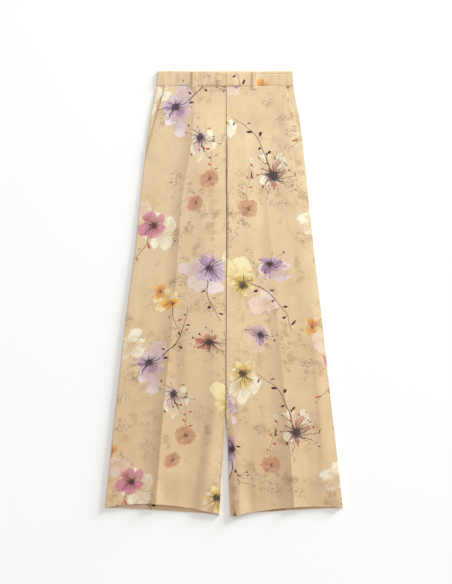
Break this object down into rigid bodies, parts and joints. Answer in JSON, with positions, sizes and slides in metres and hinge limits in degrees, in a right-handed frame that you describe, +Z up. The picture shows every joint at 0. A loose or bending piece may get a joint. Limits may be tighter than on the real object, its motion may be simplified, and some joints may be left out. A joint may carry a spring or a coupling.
{
  "type": "palazzo pants",
  "caption": "High-waisted wide-leg palazzo pants in a floral print, laid flat front up, with pressed creases, slant pockets, belt loops and a lapped centre front",
  "frame": {"origin": "On the surface that the pants lie on, under the middle of the box round their outline.", "axes": "+Y runs up the garment from the hems to the waist, +Z up off the surface towards the viewer, and +X to the wearer's left, which is the viewer's right. The wearer's right leg is at -X."},
  "size_m": [0.5929, 1.11, 0.0107],
  "materials": {
    "printed_cloth": "smooth woven cloth with a faint sheen and a floral print on a sand ground"
  },
  "bodies": {
    "root": {"front_leg_right": "printed_cloth", "front_leg_left": "printed_cloth", "back_leg_right": "printed_cloth", "back_leg_left": "printed_cloth", "pocket_facing_right": "printed_cloth", "pocket_facing_left": "printed_cloth", "waistband_front_right": "printed_cloth", "waistband_front_left": "printed_cloth", "waistband_back": "printed_cloth", "belt_loop_right": "printed_cloth", "belt_loop_left": "printed_cloth"}
  },
  "joints": []
}
